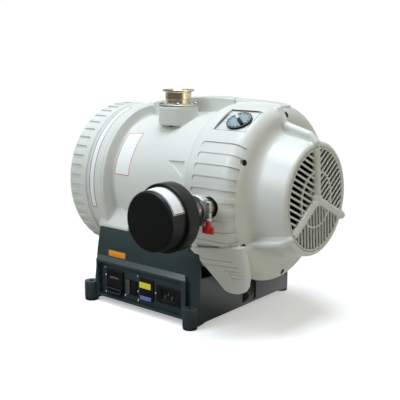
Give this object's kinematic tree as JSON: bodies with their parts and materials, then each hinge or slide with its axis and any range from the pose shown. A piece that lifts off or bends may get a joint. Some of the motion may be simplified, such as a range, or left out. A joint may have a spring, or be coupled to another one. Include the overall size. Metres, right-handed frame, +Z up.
{
  "type": "dry scroll vacuum pump",
  "caption": "Floor-standing dry scroll vacuum pump: ribbed scroll cover, conical housing, fan-cooled motor cowl, top inlet flange, side exhaust silencer, and sloped base with a console.",
  "frame": {"origin": "middle of the four base fixing holes, on the surface that the pump stands on", "axes": "+X along the pump's centre line towards the fan grille, +Y away from the control panel, +Z up"},
  "size_m": [0.4625, 0.4055, 0.39],
  "materials": {
    "base_paint": "satin dark blue-grey paint",
    "pump_paint": "satin off-white paint",
    "rubber": "matte black rubber",
    "black_plastic": "satin black moulding",
    "bare_steel": "plain bright steel",
    "cast_alloy": "fine cast and machined",
    "turned_steel": "turned, polished, warm tone",
    "seal_white": "matte white",
    "core_steel": "varnished laminations",
    "copper": "varnished copper wire",
    "label_white": "bare white film",
    "plate_colours": "bare coloured plates",
    "dial_grey": "satin blue-grey",
    "nut_red": "glossy red enamel"
  },
  "bodies": {
    "frame": {"base_casing": "base_paint", "base_plate": "base_paint", "foot_pads": "rubber", "control_panel": "black_plastic", "drive_unit": "bare_steel", "control_connector": "black_plastic", "serial_socket": "bare_steel", "status_strip": "bare_steel", "voltage_selector": "black_plastic", "setting_plates": "plate_colours", "mains_inlet": "black_plastic", "mains_pins": "bare_steel", "panel_screws": "bare_steel", "front_plate": "base_paint", "rubber_mounts": "rubber", "mount_bracket": "base_paint", "pump_housing": "pump_paint", "fixed_scroll": "cast_alloy", "fixed_tip_seal": "seal_white", "bellows": "bare_steel", "bearing_carrier": "cast_alloy", "main_bearings": "bare_steel", "motor_frame": "cast_alloy", "stator": "core_steel", "end_windings": "copper", "rear_bracket": "cast_alloy", "rear_bearing": "bare_steel", "motor_cowl": "pump_paint", "cowl_posts": "bare_steel", "cowl_screws": "bare_steel", "fan_grille": "pump_paint", "scroll_cover": "pump_paint", "cover_screws": "bare_steel", "top_bridge": "pump_paint", "inlet_flange": "turned_steel", "inlet_screws": "bare_steel", "inlet_strainer": "bare_steel", "ballast_panel": "pump_paint", "ballast_valve": "turned_steel", "exhaust_pipe": "turned_steel", "centring_ring": "bare_steel", "flange_seal": "rubber", "clamp_half_upper": "cast_alloy", "clamp_half_lower": "cast_alloy", "clamp_pin": "bare_steel", "clamp_bolt": "bare_steel", "clamp_washer": "bare_steel", "silencer_rear": "black_plastic", "silencer_front": "black_plastic", "silencer_core": "seal_white", "label_bands": "label_white"},
    "shaft": {"crankshaft": "bare_steel", "counterweight": "cast_alloy", "rotor": "bare_steel", "cooling_fan": "black_plastic"},
    "orbit": {"orbiting_scroll": "cast_alloy", "orbiting_tip_seal": "seal_white", "crank_bearing": "bare_steel"},
    "dial": {"ballast_knob": "dial_grey"},
    "wing_nut": {"clamp_nut": "nut_red"}
  },
  "joints": [
    {"name": "shaft_spin", "type": "hinge", "parent": "frame", "child": "shaft", "pos_m": [0.1, 0, 0.219], "axis": [1, 0, 0], "continuous": true},
    {"name": "scroll_orbit", "type": "hinge", "parent": "shaft", "child": "orbit", "pos_m": [-0.07, 0, 0.2245], "axis": [1, 0, 0], "continuous": true},
    {"name": "ballast_dial_turn", "type": "hinge", "parent": "frame", "child": "dial", "pos_m": [0.171, -0.07469, 0.3433], "axis": [0, -0.5045, 0.8634], "range_deg": [0, 180]},
    {"name": "clamp_nut_turn", "type": "hinge", "parent": "frame", "child": "wing_nut", "pos_m": [0.1915, -0.18, 0.2], "axis": [0, 0, 1], "range_deg": [0, 360]}
  ],
  "couplings": [
    {"joint": "scroll_orbit", "follows": "shaft_spin", "ratio": -1}
  ]
}
